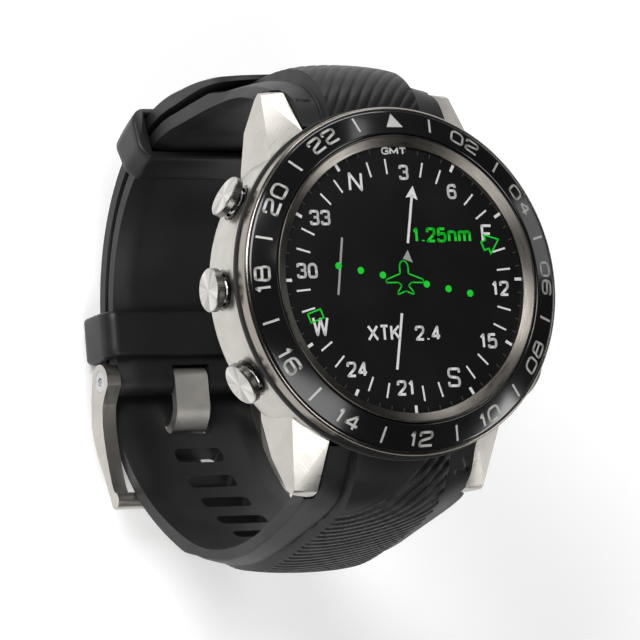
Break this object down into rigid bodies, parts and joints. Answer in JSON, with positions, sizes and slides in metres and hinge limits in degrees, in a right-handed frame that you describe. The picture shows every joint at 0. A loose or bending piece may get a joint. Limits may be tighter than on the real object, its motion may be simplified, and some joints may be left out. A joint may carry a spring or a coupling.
{
  "type": "pilot's gps wristwatch",
  "caption": "Round wrist-worn navigation watch for pilots with a marked bezel, side pushers and a buckled ribbed rubber strap with keepers.",
  "frame": {"origin": "centre of the case back's outer face, on the dial axis", "axes": "+Z out through the dial, +Y to 12 o'clock, +X to 3 o'clock"},
  "size_m": [0.048, 0.0678, 0.0733],
  "materials": {
    "case_metal": "fine brushed, satin",
    "bezel_metal": "circular brushed, dark satin",
    "bezel_ceramic": "polished black with light engraved marks",
    "lens_ring_metal": "turned, satin",
    "glass": "clear, coated",
    "screen": "black screen with printed marks",
    "seal_rubber": "matt black",
    "strap_rubber": "moulded, matt with ribs",
    "keeper_rubber": "moulded, matt",
    "buckle_metal": "long brushed, satin",
    "pusher_metal": "turned, sunburst",
    "collar_metal": "turned, dark satin",
    "pin_metal": "ground",
    "dark_plastic": "moulded",
    "back_plastic": "fine grained",
    "sensor_glass": "polished dark",
    "board": "solder mask",
    "foil": "wrapped",
    "gold": "plated"
  },
  "bodies": {
    "case": {"case_body": "case_metal", "bezel_ring": "bezel_metal", "bezel_insert": "bezel_ceramic", "bezel_gasket": "seal_rubber", "lens_ring": "lens_ring_metal", "lens": "glass", "lens_gasket": "seal_rubber", "display_panel": "screen", "dial_ring": "screen", "inner_frame": "dark_plastic", "main_board": "board", "battery": "foil", "vibration_motor": "pin_metal", "antenna_ring": "gold", "case_back": "back_plastic", "case_back_gasket": "seal_rubber", "case_back_screws": "pin_metal", "sensor_window": "sensor_glass", "sensor_board": "board", "charging_socket": "dark_plastic", "charging_contacts": "gold", "pusher_collars": "collar_metal", "pusher_seals": "seal_rubber", "pusher_switches": "dark_plastic", "upper_strap_pin": "pin_metal", "lower_strap_pin": "pin_metal", "strap_upper": "strap_rubber", "strap_lower": "strap_rubber", "upper_yoke": "pin_metal", "lower_yoke": "pin_metal", "keeper_fixed": "keeper_rubber"},
    "upper_latch": {"upper_latch": "buckle_metal"},
    "lower_latch": {"lower_latch": "buckle_metal"},
    "buckle_frame": {"buckle_frame": "buckle_metal", "buckle_pin": "pin_metal", "buckle_screws": "buckle_metal"},
    "buckle_tongue": {"buckle_tongue": "buckle_metal"},
    "keeper_loose": {"keeper_loose": "keeper_rubber"},
    "light_pusher": {"light_pusher": "pusher_metal", "light_clip": "pin_metal", "light_spring": "pin_metal"},
    "up_pusher": {"up_pusher": "pusher_metal", "up_clip": "pin_metal", "up_spring": "pin_metal"},
    "down_pusher": {"down_pusher": "pusher_metal", "down_clip": "pin_metal", "down_spring": "pin_metal"},
    "start_pusher": {"start_pusher": "pusher_metal", "start_clip": "pin_metal", "start_spring": "pin_metal"},
    "back_pusher": {"back_pusher": "pusher_metal", "back_clip": "pin_metal", "back_spring": "pin_metal"}
  },
  "joints": [
    {"name": "light_press", "type": "slide", "parent": "case", "child": "light_pusher", "axis": [0.866, -0.5, 0], "range_m": [0, 0.0007], "stiffness_N_per_m": 700, "springref_m": -0.0006, "deforming": ["light_spring"]},
    {"name": "up_press", "type": "slide", "parent": "case", "child": "up_pusher", "axis": [1, 0, 0], "range_m": [0, 0.0007], "stiffness_N_per_m": 700, "springref_m": -0.0006, "deforming": ["up_spring"]},
    {"name": "down_press", "type": "slide", "parent": "case", "child": "down_pusher", "axis": [0.866, 0.5, 0], "range_m": [0, 0.0007], "stiffness_N_per_m": 700, "springref_m": -0.0006, "deforming": ["down_spring"]},
    {"name": "start_press", "type": "slide", "parent": "case", "child": "start_pusher", "axis": [-0.866, -0.5, 0], "range_m": [0, 0.0007], "stiffness_N_per_m": 700, "springref_m": -0.0006, "deforming": ["start_spring"]},
    {"name": "back_press", "type": "slide", "parent": "case", "child": "back_pusher", "axis": [-0.866, 0.5, 0], "range_m": [0, 0.0007], "stiffness_N_per_m": 700, "springref_m": -0.0006, "deforming": ["back_spring"]},
    {"name": "upper_latch_slide", "type": "slide", "parent": "case", "child": "upper_latch", "axis": [0, 1, 0], "range_m": [0, 0.0014], "stiffness_N_per_m": 250, "springref_m": -0.0006},
    {"name": "lower_latch_slide", "type": "slide", "parent": "case", "child": "lower_latch", "axis": [0, -1, 0], "range_m": [0, 0.0014], "stiffness_N_per_m": 250, "springref_m": -0.0006},
    {"name": "buckle_frame_hinge", "type": "hinge", "parent": "case", "child": "buckle_frame", "pos_m": [0, -0.00305, -0.0531], "axis": [1, 0, 0], "range_deg": [0, 5]},
    {"name": "buckle_tongue_hinge", "type": "hinge", "parent": "case", "child": "buckle_tongue", "pos_m": [0, -0.00305, -0.0531], "axis": [1, 0, 0], "range_deg": [0, 8]},
    {"name": "keeper_slide", "type": "hinge", "parent": "case", "child": "keeper_loose", "pos_m": [0, 0.0039, -0.0275], "axis": [1, 0, 0], "range_deg": [-44, 16]}
  ],
  "couplings": [
    {"joint": "buckle_tongue_hinge", "follows": "buckle_frame_hinge", "ratio": 1}
  ]
}
